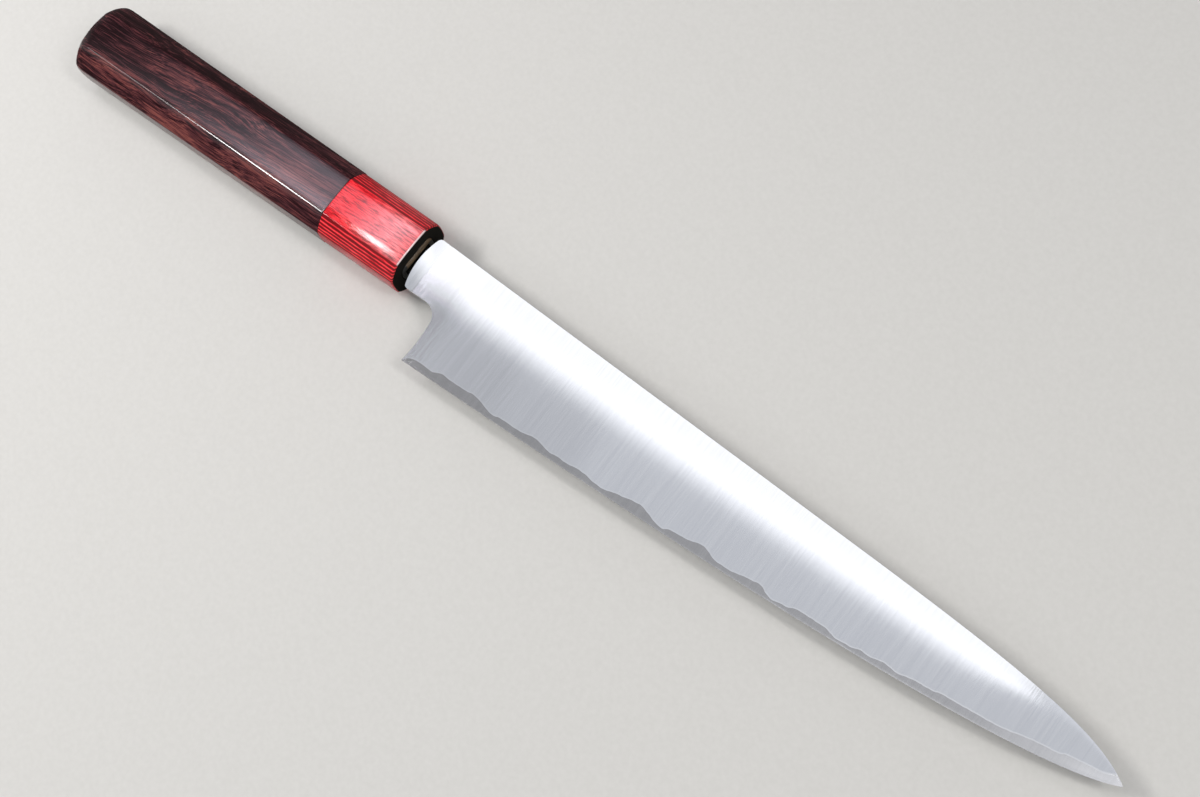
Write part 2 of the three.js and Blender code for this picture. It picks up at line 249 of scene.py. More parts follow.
class Value:
    """A node's output; an expression on values adds its Math nodes to the tree."""

    def __init__(self, nodes, socket):
        self.nodes = nodes
        self.socket = socket

    def output(self, name):
        return Value(self.nodes, self.socket.node.outputs[name])

    def math(self, operation, *others):
        return self.nodes.math(operation, self, *others)

    def __add__(self, other):
        return self.math("ADD", other)

    def __sub__(self, other):
        return self.math("SUBTRACT", other)

    def __rsub__(self, other):
        return self.nodes.math("SUBTRACT", other, self)

    def __mul__(self, other):
        return self.math("MULTIPLY", other)

    def __truediv__(self, other):
        return self.math("DIVIDE", other)

    def __pow__(self, other):
        return self.math("POWER", other)

    __radd__ = __add__
    __rmul__ = __mul__


class Nodes:
    """A node tree, with one way to add a node to it."""

    def __init__(self, tree):
        self.tree = tree

    def add(self, kind, settings=None, sockets=None, output=0):
        node = self.tree.nodes.new(kind)
        for name, setting in (settings or {}).items():
            if name == "stops":
                self.set_stops(node.color_ramp.elements, setting)
            elif name == "items":
                for _ in range(setting - len(node.index_switch_items)):
                    node.index_switch_items.new()
            else:
                setattr(node, name, setting)
        for name, value in (sockets or {}).items():
            self.feed(node.inputs[name], value)
        return Value(self, node.outputs[output]) if node.outputs else None

    def feed(self, socket, value):
        if isinstance(value, Value):
            self.tree.links.new(value.socket, socket)
        else:
            socket.default_value = value

    @staticmethod
    def set_stops(elements, stops):
        for _ in range(len(stops) - len(elements)):
            elements.new(1)
        for element, (place, colour) in zip(elements, stops):
            element.position = place
            element.color = (*colour, 1)

    def math(self, operation, *values):
        return self.add("ShaderNodeMath", {"operation": operation}, dict(enumerate(values)))

    def mix(self, share, first, second):
        """A colour between two, through the sockets that the Mix node has for colours."""
        first, second = (c if isinstance(c, Value) else (*c, 1) for c in (first, second))
        return self.add("ShaderNodeMix", {"data_type": "RGBA"}, {0: share, 6: first, 7: second}, 2)

    def ramp(self, value, stops):
        return self.add("ShaderNodeValToRGB", {"stops": stops}, {"Fac": value})

    def step(self, value, low, high):
        """0 below low, 1 above high, smooth between; low may be the larger one."""
        sockets = {"Value": value, "From Min": low, "From Max": high}
        return self.add("ShaderNodeMapRange", {"interpolation_type": "SMOOTHSTEP"}, sockets)

    def place(self):
        return self.add("ShaderNodeTexCoord", output="Object")

    def axes(self, vector):
        first = self.add("ShaderNodeSeparateXYZ", sockets={0: vector})
        return first, first.output(1), first.output(2)

    def vector(self, x, y, z):
        return self.add("ShaderNodeCombineXYZ", sockets={0: x, 1: y, 2: z})

    def noise(self, vector, sizes, detail=2.0, roughness=0.5):
        """Noise whose blobs have the given sizes along X, Y and Z."""
        scale = tuple(1 / size for size in sizes)
        stretched = self.add("ShaderNodeMapping", sockets={"Vector": vector, "Scale": scale})
        sockets = {"Vector": stretched, "Scale": 1.0, "Detail": detail, "Roughness": roughness}
        return self.add("ShaderNodeTexNoise", sockets=sockets)

    def bump(self, height, depth):
        sockets = {"Height": height, "Distance": depth, "Strength": 1.0}
        return self.add("ShaderNodeBump", sockets=sockets, output="Normal")


def finish(name, **constants):
    """A new material's nodes and its shader, with the shader's even values set."""
    material = bpy.data.materials.new(name)
    material.use_nodes = True
    shader = material.node_tree.nodes["Principled BSDF"]
    for socket, value in constants.items():
        shader.inputs[socket.replace("_", " ")].default_value = value
    return material, Nodes(material.node_tree), shader.inputs


# Finishes

def satin_lines(nodes):
    """Fine grinding lines that run from the spine to the edge: their relief and their shade."""
    place = nodes.place()
    fine = nodes.noise(place, (0.25 * MM, 14 * MM, 14 * MM), 2)
    broad = nodes.noise(place, (1.2 * MM, 45 * MM, 45 * MM), 2)
    strokes = nodes.noise(place, (0.8 * MM, 7 * MM, 7 * MM), 2)
    return fine * 0.4 + strokes, nodes.step(fine * 0.5 + broad * 0.5, 0.05, 0.95)


def cladding_finish():
    """Satin steel with a painted highlight along its lower border, and painted shade over the tang in the
    dark gap at the mouth.
    """
    material, nodes, shader = finish("satin_cladding", Metallic=0.85)
    relief, lines = satin_lines(nodes)
    x, y, _ = nodes.axes(nodes.place())
    above_line = nodes.add("ShaderNodeAttribute", {"attribute_name": "above_line"}, output="Fac")
    # Painted highlight: a thin paler line along the cladding's border, clearer towards the tip
    border = nodes.step(above_line, 0.5 * MM, 0.2 * MM)
    border = border * (0.25 + nodes.step(x, *BORDER_HIGHLIGHT_STRETCH) * 0.45)
    # Painted shade: the tang behind the neck's end is made nearly black, for the shadowed gap at the mouth
    tang = nodes.step(x - neck_end(y), 0, -0.08 * MM)
    steel = nodes.mix(lines, (0.69, 0.70, 0.745), (0.81, 0.82, 0.855))
    steel = nodes.mix(border, steel, (0.95, 0.95, 0.97))
    nodes.feed(shader["Base Color"], nodes.mix(tang, steel, (0.02, 0.018, 0.015)))
    nodes.feed(shader["Roughness"], 0.07 + lines * 0.02)
    nodes.feed(shader["Normal"], nodes.bump(relief, SATIN_DEPTH))
    return material


def core_finish():
    """Ground steel, made brighter towards the tip by painted reflection and darker at the heel by painted
    shade.
    """
    material, nodes, shader = finish("core_steel_strip", Metallic=0.85)
    relief, lines = satin_lines(nodes)
    x = nodes.axes(nodes.place())[0]
    level = 0.3 + lines * 0.1
    # Painted light: the strip's colour rises in steps along the blade in place of its reflections
    for start, end, gain in CORE_PAINTED_LIGHT:
        level = level + nodes.step(x, start, end) * gain
    nodes.feed(shader["Base Color"], nodes.mix(level, (0, 0, 0), (0.99, 0.98, 1)))
    nodes.feed(shader["Roughness"], 0.1 + lines * 0.03)
    nodes.feed(shader["Normal"], nodes.bump(relief, SATIN_DEPTH))
    return material


def veneer_finish():
    """Thin dyed veneers pressed face to face, with dark end grain at the mouth and in the bore, painted
    shade on the upper bevel, a painted sheen towards the mouth and a painted highlight along the rim.
    """
    material, nodes, shader = finish(
        "red_veneer", IOR=1.5, Specular_IOR_Level=0.02, Coat_Roughness=0.08,
    )
    ply = 0.85 * MM
    place = nodes.place()
    x, y, z = nodes.axes(place)
    wander = nodes.noise(place, (30 * MM, 2 * MM, 4 * MM), 2) - 0.5
    across = (y.math("ABSOLUTE") / (BROAD_FACET_WIDTH / 2)).math("MINIMUM", 1)
    surface = BUTT_THICKNESS / 2 + (FRONT_THICKNESS - BUTT_THICKNESS) / 2 / HANDLE_LENGTH * x
    surface = surface - across ** 3 * FERRULE_CROWN
    depth = (surface - z.math("ABSOLUTE") + wander * (0.5 * MM)) / ply
    wave = (depth * (2 * math.pi)).math("COSINE") * 0.5 + 0.5
    fibres = nodes.noise(place, (5 * MM, 0.55 * MM, 0.55 * MM), 3, 0.65)
    figure = nodes.noise(place, (16 * MM, 1.6 * MM, 3 * MM), 3)
    # Where the bevel facets cut the plies, these show as lines
    # Painted shade: the upper bevel is darkened and gets less coat
    upper = nodes.step(y, 7.5 * MM, 8.5 * MM)
    broad = nodes.step(y.math("ABSOLUTE"), 7.3 * MM, 6.4 * MM)
    cut_plies = (wave - 0.5) * (1 - broad) * 0.7
    shade = wave * 1.05 + cut_plies + fibres * 3.3 + figure * 0.6 - upper * 0.24 - 2.3
    red = nodes.ramp(shade, (
        (0.05, (0.16, 0.002, 0.005)), (0.4, (0.43, 0.007, 0.013)), (0.65, (0.70, 0.013, 0.022)),
        (0.95, (0.88, 0.045, 0.055)),
    ))
    # Painted sheen makes the broad facets paler towards the mouth, and a painted highlight gives them a
    # light rim at the end
    front = nodes.step(x, SEAM_X + 8 * MM, SEAM_X + 26 * MM) * broad
    red = nodes.mix(front * fibres ** 2 * 0.62, red, (1, 0.8, 0.82))
    rim = nodes.step(x, MOUTH_X - 0.5 * MM, MOUTH_X - 0.4 * MM) * broad
    red = nodes.mix(rim * 0.8, red, (0.95, 0.75, 0.75))
    # End grain at the mouth and wood in the bore are dark
    end_grain = nodes.step(x, MOUTH_X - 0.12 * MM, MOUTH_X - 0.04 * MM)
    bore_y = nodes.step(y.math("ABSOLUTE"), 8.4 * MM, 8 * MM)
    bore = bore_y * nodes.step(z.math("ABSOLUTE"), 5.4 * MM, 5 * MM)
    dark_part = end_grain.math("MAXIMUM", bore)
    rings = nodes.noise(place, (1 * MM, 0.5 * MM, 0.5 * MM), 3)
    dark = nodes.mix(rings, (0.004, 0.004, 0.003), (0.014, 0.012, 0.010))
    nodes.feed(shader["Base Color"], nodes.mix(dark_part, red, dark))
    nodes.feed(shader["Roughness"], 0.34 + fibres * 0.14 + dark_part * 0.3)
    polish = 0.35 + nodes.step(x, SEAM_X + 4 * MM, SEAM_X + 14 * MM) * 0.3 - upper * 0.2
    nodes.feed(shader["Coat Weight"], polish * (1 - dark_part))
    nodes.feed(shader["Normal"], nodes.bump(fibres, 0.01 * MM))
    return material


def rosewood_finish():
    """Dark heartwood with red-brown streaks along the handle, open pores, painted shade on its upper side
    and a lacquer coat.
    """
    material, nodes, shader = finish(
        "rosewood", IOR=1.5, Specular_IOR_Level=0.01, Coat_Roughness=0.12,
    )
    place = nodes.place()
    x, y, z = nodes.axes(place)
    drift = nodes.noise(place, (45 * MM, 12 * MM, 12 * MM), 2) - 0.5
    bent = nodes.vector(x, y - x * 0.07 + drift * (7 * MM), z + drift * (4 * MM))
    patches = nodes.noise(bent, (55 * MM, 7 * MM, 7 * MM), 2)
    bands = nodes.noise(bent, (60 * MM, 1.9 * MM, 1.9 * MM), 4, 0.65)
    fibres = nodes.noise(bent, (12 * MM, 0.3 * MM, 0.3 * MM), 3, 0.65)
    # Rises across the handle, to its largest value on the lower right bevel
    layer = z * 0.6 - y * 0.8
    # Redder on that bevel and in the middle of the handle, with painted shade on the upper side, calmer to
    # the ferrule
    warm = nodes.step(layer, 8.5 * MM, 11.5 * MM) * (nodes.step(x, 65 * MM, 90 * MM) * 0.07 + 0.005)
    heart = nodes.step(x, 20 * MM, 50 * MM) * nodes.step(x, 110 * MM, 70 * MM) * 0.09
    painted_upper_shade = nodes.step(layer, 0.8 * MM, -2.5 * MM) * (0.1 + nodes.step(x, 75 * MM, 45 * MM) * 0.16)
    streaks = bands + fibres * 1.9 + patches * 1.1 - 2
    calm = 1 - nodes.step(x, 70 * MM, 100 * MM) * 0.25
    shade = 0.5 + streaks * calm + warm + heart - painted_upper_shade
    wood = nodes.ramp(shade, (
        (0.27, (0.010, 0.002, 0.003)), (0.43, (0.024, 0.007, 0.009)), (0.54, (0.052, 0.016, 0.020)),
        (0.66, (0.10, 0.028, 0.030)), (0.84, (0.19, 0.056, 0.048)),
    ))
    pores = nodes.step(nodes.noise(bent, (5 * MM, 0.28 * MM, 0.28 * MM), 2), 0.6, 0.7)
    nodes.feed(shader["Base Color"], nodes.mix(pores * 0.75, wood, (0.004, 0.003, 0.003)))
    nodes.feed(shader["Roughness"], 0.38 + fibres * 0.15)
    # The lacquer shines on the broad facet, along its lower arris and on the bottom facet
    arris = nodes.step(layer, 6 * MM, 10 * MM) * nodes.step(y, -8.6 * MM, -7.8 * MM)
    face = nodes.step(layer, -0.5 * MM, 2 * MM) * nodes.step(y, -8.8 * MM, -7 * MM)
    under = nodes.step(y, -9 * MM, -11 * MM) * nodes.step(z.math("ABSOLUTE"), 4.2 * MM, 3.4 * MM)
    nodes.feed(shader["Coat Weight"], 0.06 + face * 0.48 + arris * 0.45 + under * 0.7)
    nodes.feed(shader["Normal"], nodes.bump(fibres - pores * 0.5, 0.012 * MM))
    return material


def seal_finish():
    """Brown filler with painted shadow in the gap beside the tang and at its lower end."""
    material, nodes, shader = finish("brown_filler", IOR=1.45)
    place = nodes.place()
    _, y, z = nodes.axes(place)
    grit = nodes.noise(place, (0.6 * MM, 1.8 * MM, 0.4 * MM), 3)
    brown = nodes.ramp(grit, (
        (0.3, (0.035, 0.02, 0.01)), (0.55, (0.12, 0.072, 0.034)), (0.75, (0.21, 0.14, 0.07)),
    ))
    # Painted shadow: near black beside the tang and at the filler's lower end
    beside = nodes.step(z.math("ABSOLUTE"), 2.1 * MM, 1.6 * MM)
    gap_shadow = beside.math("MAXIMUM", nodes.step(y, -4.2 * MM, -5 * MM))
    nodes.feed(shader["Base Color"], nodes.mix(gap_shadow, brown, (0.008, 0.007, 0.005)))
    nodes.feed(shader["Roughness"], 0.45 + grit * 0.2)
    nodes.feed(shader["Normal"], nodes.bump(grit, 0.05 * MM))
    return material


def dowel_finish():
    """Plain pale wood, hidden inside the handle."""
    material, nodes, shader = finish("pale_dowel", IOR=1.45)
    grain = nodes.noise(nodes.place(), (30 * MM, 0.8 * MM, 0.8 * MM), 3)
    nodes.feed(shader["Base Color"], nodes.mix(grain, (0.30, 0.18, 0.085), (0.48, 0.32, 0.17)))
    nodes.feed(shader["Roughness"], 0.55 + grain * 0.2)
    return material


def floor_finish():
    """A pale floor that runs over into the pale room at some distance from the knife."""
    material, nodes, shader = finish("pale_floor", Roughness=0.8)
    place = nodes.place()
    speck = nodes.noise(place, (1.5 * MM, 1.5 * MM, 1.5 * MM), 3)
    nodes.feed(shader["Base Color"], nodes.mix(speck, (0.54, 0.525, 0.495), (0.60, 0.585, 0.555)))
    x, y, _ = nodes.axes(place)
    away = ((x - CAMERA_AIM.x) ** 2 + y ** 2) ** 0.5
    path = nodes.add("ShaderNodeLightPath", output="Is Camera Ray")
    seen = path.math("MAXIMUM", path.output("Is Glossy Ray"))
    room = nodes.add("ShaderNodeEmission", sockets={"Color": (*ROOM_COLOUR, 1)})
    surface = nodes.tree.nodes["Principled BSDF"].outputs[0]
    ground = {0: nodes.step(away, *FLOOR_FADE) * seen, 1: Value(nodes, surface), 2: room}
    output = nodes.tree.nodes["Material Output"].inputs["Surface"]
    nodes.feed(output, nodes.add("ShaderNodeMixShader", sockets=ground))
    return material


# Blade shape

def straight_spine(x):
    return SPINE_ABOVE_AXIS + SPINE_SLOPE * (x - MOUTH_X)


def sloped_curve(start, start_slope, start_reach, end, end_slope, end_reach):
    """A cubic curve that leaves its start and reaches its end at a given slope, as x and y rows."""
    leave = start + Vector((1, start_slope)) * start_reach
    arrive = end - Vector((1, end_slope)) * end_reach
    return np.array(interpolate_bezier(start, leave, arrive, end, CURVE_STEPS)).T


def smooth_row(points):
    """A smooth curve through points, as x and y rows."""
    row = np.array([points[0], *points, points[-1]])
    steps = np.linspace(0, 1, WAVE_STEPS, endpoint=False)[:, None]
    parts = []
    for a, b, c, d in zip(row, row[1:], row[2:], row[3:]):
        bend = (2 * a - 5 * b + 4 * c - d) * steps ** 2 + (3 * b - a - 3 * c + d) * steps ** 3
        parts.append(b + ((c - a) * steps + bend) / 2)
    return np.vstack([*parts, row[-1:]]).T


heel = Vector((HEEL_X, EDGE_LOW_Y))
tip = Vector((TIP_X, EDGE_LOW_Y + TIP_ABOVE_HEEL))
spine_bend = Vector((TIP_X - SPINE_CURVE_LENGTH, straight_spine(TIP_X - SPINE_CURVE_LENGTH)))
spine_curve = sloped_curve(
    spine_bend, SPINE_SLOPE, SPINE_BACK_PULL * SPINE_CURVE_LENGTH,
    tip, SPINE_TIP_SLOPE, SPINE_TIP_PULL * SPINE_CURVE_LENGTH,
)
edge_curve = sloped_curve(
    heel, EDGE_HEEL_SLOPE, EDGE_HEEL_PULL * BLADE_LENGTH,
    tip, EDGE_TIP_SLOPE, EDGE_TIP_PULL * BLADE_LENGTH,
)


def spine_at(x):
    return straight_spine(x) if x < spine_bend.x else float(np.interp(x, *spine_curve))


def edge_at(x):
    return float(np.interp(x, *edge_curve))


def lamination_line():
    """The wavy border of the cladding, from the heel to where it meets the spine, as x and y rows."""
    wave = []
    for along, width in LAMINATION_LINE:
        x = HEEL_X + along * MM
        wave.append((x, edge_at(x) + width * MM))
    return smooth_row([*wave, (LINE_END_X, spine_at(LINE_END_X))])


line_curve = lamination_line()


def line_at(x):
    """Height of the cladding's lower border, with the small ripples of forged layers."""
    ripple = sum(math.sin(2 * math.pi * x / length) for length in RIPPLE_LENGTHS)
    fade = min(1, (LINE_END_X - x) / RIPPLE_FADE)
    return float(np.interp(x, *line_curve)) + RIPPLE_HEIGHT * ripple * max(fade, 0)


def smooth_share(value, low, high):
    share = min(max((value - low) / (high - low), 0), 1)
    return share * share * (3 - 2 * share)


def mix_number(first, second, share):
    return first + (second - first) * share


def blade_half(x, y):
    """Half the blade's thickness: even in the tang, a convex fall from spine to edge past it.

    The neck and the heel are ground a little thinner, and the neck's end is thicker towards the handle.
    """
    spine = spine_at(x)
    height = max(spine - edge_at(x), LEAST_HEIGHT)
    ground = smooth_share(x, MOUTH_X - GRIND_RUN_IN, MOUTH_X)
    full = mix_number(STOCK_HALF, TIP_HALF, min(max((x - HEEL_X) / BLADE_LENGTH, 0), 1))
    full = min(full, EDGE_HALF + TIP_FALL * height)
    down = min(max((spine - y) / height, 0), 1)
    hollow = NECK_GRIND * (1 - down) * smooth_share(x, HEEL_X + GRIND_RUN_IN, MOUTH_X + NECK_LENGTH / 3)
    rear = max(0, 1 - (x - MOUTH_X) / NECK_FLARE_LENGTH)
    flare = NECK_FLARE * rear ** 2 * smooth_share(x, neck_end(y) - NECK_STEP, neck_end(y))
    return max(mix_number(full, EDGE_HALF, ground * (1 + hollow) * down ** GRIND_POWER), EDGE_HALF) + flare


def cladding_foot(x, y):
    """Underside of a cladding: flat on the core, and a thin lip below its outside where that is lower."""
    return min(CORE_HALF, blade_half(x, y) - CLADDING_LIP)


def core_half(x, y):
    """The core steel shows below the lamination line and lies under the cladding above it."""
    if x >= LINE_END_X:
        return blade_half(x, y)
    if y <= line_at(x) + LAYER_GAP:
        return max(blade_half(x, y) - CLADDING_LIP, EDGE_HALF)
    return max(cladding_foot(x, y) - LAYER_GAP, EDGE_HALF)


# The blade's flat plan as patches: columns of points that run from the spine's side down

def column(x, top, bottom, shares):
    return [(x, mix_number(top, bottom, share)) for share in shares]


def neck_end(y):
    """The neck's rear end, a shallow arc towards the handle, for a number or a node's value."""
    return MOUTH_X + SHOULDER_GAP - SHOULDER_BOW * (1 - (y / SHOULDER_HALF) ** 2)


def shoulder_column():
    """The neck's rear end: two rounded shoulders with the tang's root between them."""
    x = MOUTH_X + SHOULDER_GAP
    top, bottom = straight_spine(x), SPINE_ABOVE_AXIS - NECK_HEIGHT
    radius, bite = SHOULDER_RADIUS, SHOULDER_RADIUS * (1 - math.sqrt(0.5))
    half = TANG_ROOT_HALF
    upper_y, lower_y = top - radius, bottom + radius
    first, last = TANG_ROOT_ROWS
    root = [float(y) for y in np.linspace(half, -half, last - first + 1)]
    arc = [upper_y, (upper_y + half) / 2, *root, (lower_y - half) / 2, lower_y]
    return [
        (x + radius, top), (x + bite, top - bite), *((neck_end(y), y) for y in arc),
        (x + bite, bottom + bite), (x + radius, bottom),
    ]


def tang_patch(shoulder):
    """The tang, from its rounded end to its root between the shoulders."""
    first, last = TANG_ROOT_ROWS
    root = shoulder[first:last + 1]
    columns = []
    bite = TANG_END_RADIUS * (1 - math.sqrt(0.5))
    for x, cut in ((0, TANG_END_RADIUS), (bite, bite), (TANG_END_RADIUS, 0)):
        half = TANG_END_HALF - cut
        columns.append([(TANG_END_X + x, y / TANG_ROOT_HALF * half) for _, y in root])
    step = [(x - NECK_STEP, y) for x, y in root]
    return [*columns, step, root]


def neck_columns(shoulder):
    """The neck, from the shoulders to the choil and round it to the heel."""
    bottom = SPINE_ABOVE_AXIS - NECK_HEIGHT
    choil_x = HEEL_X - CHOIL_RADIUS
    start_x = MOUTH_X + SHOULDER_GAP + 2 * SHOULDER_RADIUS
    flare_end = column(start_x, spine_at(start_x), bottom, UPPER_SHARES)
    columns = [shoulder]
    for step in range(1, FLARE_STEPS):
        share = step / FLARE_STEPS
        columns.append([tuple(Vector(a).lerp(Vector(b), share)) for a, b in zip(shoulder, flare_end)])
    for x in np.linspace(start_x, choil_x, NECK_STEPS):
        columns.append(column(float(x), spine_at(x), bottom, UPPER_SHARES))
    for step in range(1, CHOIL_STEPS + 1):
        angle = math.pi / 2 * step / CHOIL_STEPS
        x = choil_x + CHOIL_RADIUS * math.sin(angle)
        foot = bottom - CHOIL_RADIUS * (1 - math.cos(angle))
        columns.append(column(x, spine_at(x), foot, UPPER_SHARES))
    return columns


CHOIL_FOOT_Y = SPINE_ABOVE_AXIS - NECK_HEIGHT - CHOIL_RADIUS
SPLIT = (spine_at(HEEL_X) - CHOIL_FOOT_Y) / (spine_at(HEEL_X) - line_at(HEEL_X))
blade_stations = [float(x) for x in np.linspace(HEEL_X, LINE_END_X, BLADE_COLUMNS + 1)]


def split_at(x):
    """Where the upper and the lower patch of a cladding meet, which at the heel is the choil's foot."""
    return mix_number(spine_at(x), line_at(x), SPLIT)


def bowed(points):
    """The heel's end line, a little hollow between the choil and the edge."""
    middle, reach = (CHOIL_FOOT_Y + EDGE_LOW_Y) / 2, (CHOIL_FOOT_Y - EDGE_LOW_Y) / 2
    return [(x + HEEL_BOW * max(0, 1 - ((y - middle) / reach) ** 2), y) for x, y in points]


def cladding_patches():
    shoulder = shoulder_column()
    upper = neck_columns(shoulder)
    upper += [column(x, spine_at(x), split_at(x), UPPER_SHARES) for x in blade_stations[1:]]
    lower = [column(x, split_at(x), line_at(x), LOWER_SHARES) for x in blade_stations]
    lower[0] = bowed(lower[0])
    return [tang_patch(shoulder), upper, lower]


def strip_patch():
    """The bare strip of core steel along the edge, and the tip past the end of the claddings."""
    columns = [column(x, line_at(x), edge_at(x), STRIP_SHARES) for x in blade_stations]
    columns[0] = bowed(columns[0])
    for x in np.linspace(LINE_END_X, TIP_X, TIP_COLUMNS + 1)[1:]:
        columns.append(column(float(x), spine_at(x), edge_at(x), STRIP_SHARES))
    return columns


def blade_sheet(name, patches, top, foot, material):
    """A closed sheet over the patches, between two heights, whose points keep their distance to the line."""
    corners, cells = {}, []

    def corner(point):
        key = tuple(round(value / MM, CORNER_DIGITS) for value in point)
        return corners.setdefault(key, (len(corners), point))[0]

    for patch in patches:
        for left, right in zip(patch, patch[1:]):
            for row in range(len(left) - 1):
                loop = [left[row], left[row + 1], right[row + 1], right[row]]
                cell = list(dict.fromkeys(corner(point) for point in loop))
                if len(cell) > 2:
                    cells.append(cell)
    points = [point for _, point in corners.values()]
    count = len(points)
    vertices = [(x, y, top(x, y)) for x, y in points] + [(x, y, foot(x, y)) for x, y in points]
    sides = {(a, b) for cell in cells for a, b in zip(cell, cell[1:] + cell[:1])}
    walls = [(a + count, b + count, b, a) for a, b in sorted(sides) if (b, a) not in sides]
    under = [[index + count for index in reversed(cell)] for cell in cells]
    mesh = bpy.data.meshes.new(name)
    mesh.from_pydata(vertices, [], cells + under + walls)
    distance = mesh.attributes.new("above_line", "FLOAT", "POINT")
    for index, (x, y) in enumerate(points + points):
        distance.data[index].value = y - line_at(x)
    return finished(name, mesh, material)


def finished(name, mesh, material):
    """An object of a mesh with its faces outwards, smooth but for sharp borders, riding on the knife."""
    shape = bmesh.new()
    shape.from_mesh(mesh)
    bmesh.ops.recalc_face_normals(shape, faces=shape.faces)
    shape.to_mesh(mesh)
    shape.free()
    mesh.shade_smooth()
    mesh.set_sharp_from_angle(angle=SHARP_ANGLE)
    if not mesh.materials:
        mesh.materials.append(material)
    piece = bpy.data.objects.new(name, mesh)
    bpy.context.scene.collection.objects.link(piece)
    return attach(piece, "root")


def blade():
    cladding, core = cladding_finish(), core_finish()
    patches = cladding_patches()
    right = blade_sheet("right_cladding_ground", patches, blade_half, cladding_foot, cladding)
    left = blade_sheet(
        "left_cladding_ground", patches,
        lambda x, y: -cladding_foot(x, y), lambda x, y: -blade_half(x, y), cladding,
    )
    middle = blade_sheet(
        "core_steel_ground", [*patches, strip_patch()],
        core_half, lambda x, y: -core_half(x, y), core,
    )
    for piece, node, slot in (
        (right, "right_cladding", "cladding_steel"), (left, "left_cladding", "cladding_steel"),
        (middle, "core_steel", "core_steel"),
    ):
        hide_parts(node)


# Handle shape

SLEEVE_SIZES = (
    "Back", "Front", "Handle Length", "Butt Height", "Front Height", "Butt Thickness", "Front Thickness",
    "Facet Width", "Arris Radius", "Facet Crown", "Back Depth", "Back Inset", "Back Round", "Round Inset",
    "Front Depth", "Front Inset", "Bore Height", "Bore Thickness", "Bore Corner", "Bore End", "Through",
)
FACETS = 8
ARRIS_STEPS = 4
FACET_STEPS = 7
END_STEPS = 5
LENGTH_STEPS = 6
RIM_HOLD = 0.96
END_HOLD = 0.4 * MM
MERGE_DISTANCE = 0.001 * MM


def sleeve_rings(size):
    """Rings of an eight-sided sleeve, outside first, then the bore.

    Each has its x, inset, share of the bore, scale and share of the ellipse that rounds the back.
    """
    back, front = size["Back"], size["Front"]
    back_depth, back_inset, back_round = size["Back Depth"], size["Back Inset"], size["Back Round"]
    front_depth, front_inset = size["Front Depth"], size["Front Inset"]
    rings = [(back, 0, 1, size["Through"], 0), (back, back_inset, 0, RIM_HOLD, back_round)]
    for step in range(END_STEPS + 1):
        angle = math.pi / 2 * step / END_STEPS
        fall, left = 1 - math.cos(angle), 1 - math.sin(angle)
        rings.append((back + back_depth * fall, back_inset * left, 0, 1, back_round * left))
    flat_back, flat_front = back + back_depth + END_HOLD, front - front_depth - END_HOLD
    for step in range(LENGTH_STEPS + 1):
        rings.append((flat_back + (flat_front - flat_back) * (step / LENGTH_STEPS), 0, 0, 1, 0))
    for step in range(END_STEPS + 1):
        angle = math.pi / 2 * step / END_STEPS
        rise, left = 1 - math.sin(angle), 1 - math.cos(angle)
        rings.append((front - front_depth * rise, front_inset * left, 0, 1, 0))
    rings += [(front, front_inset, 0, RIM_HOLD, 0), (front, 0, 1, 1, 0), (size["Bore End"], 0, 1, 1, 0)]
    return [*rings, (size["Bore End"], 0, 1, size["Through"], 0)]


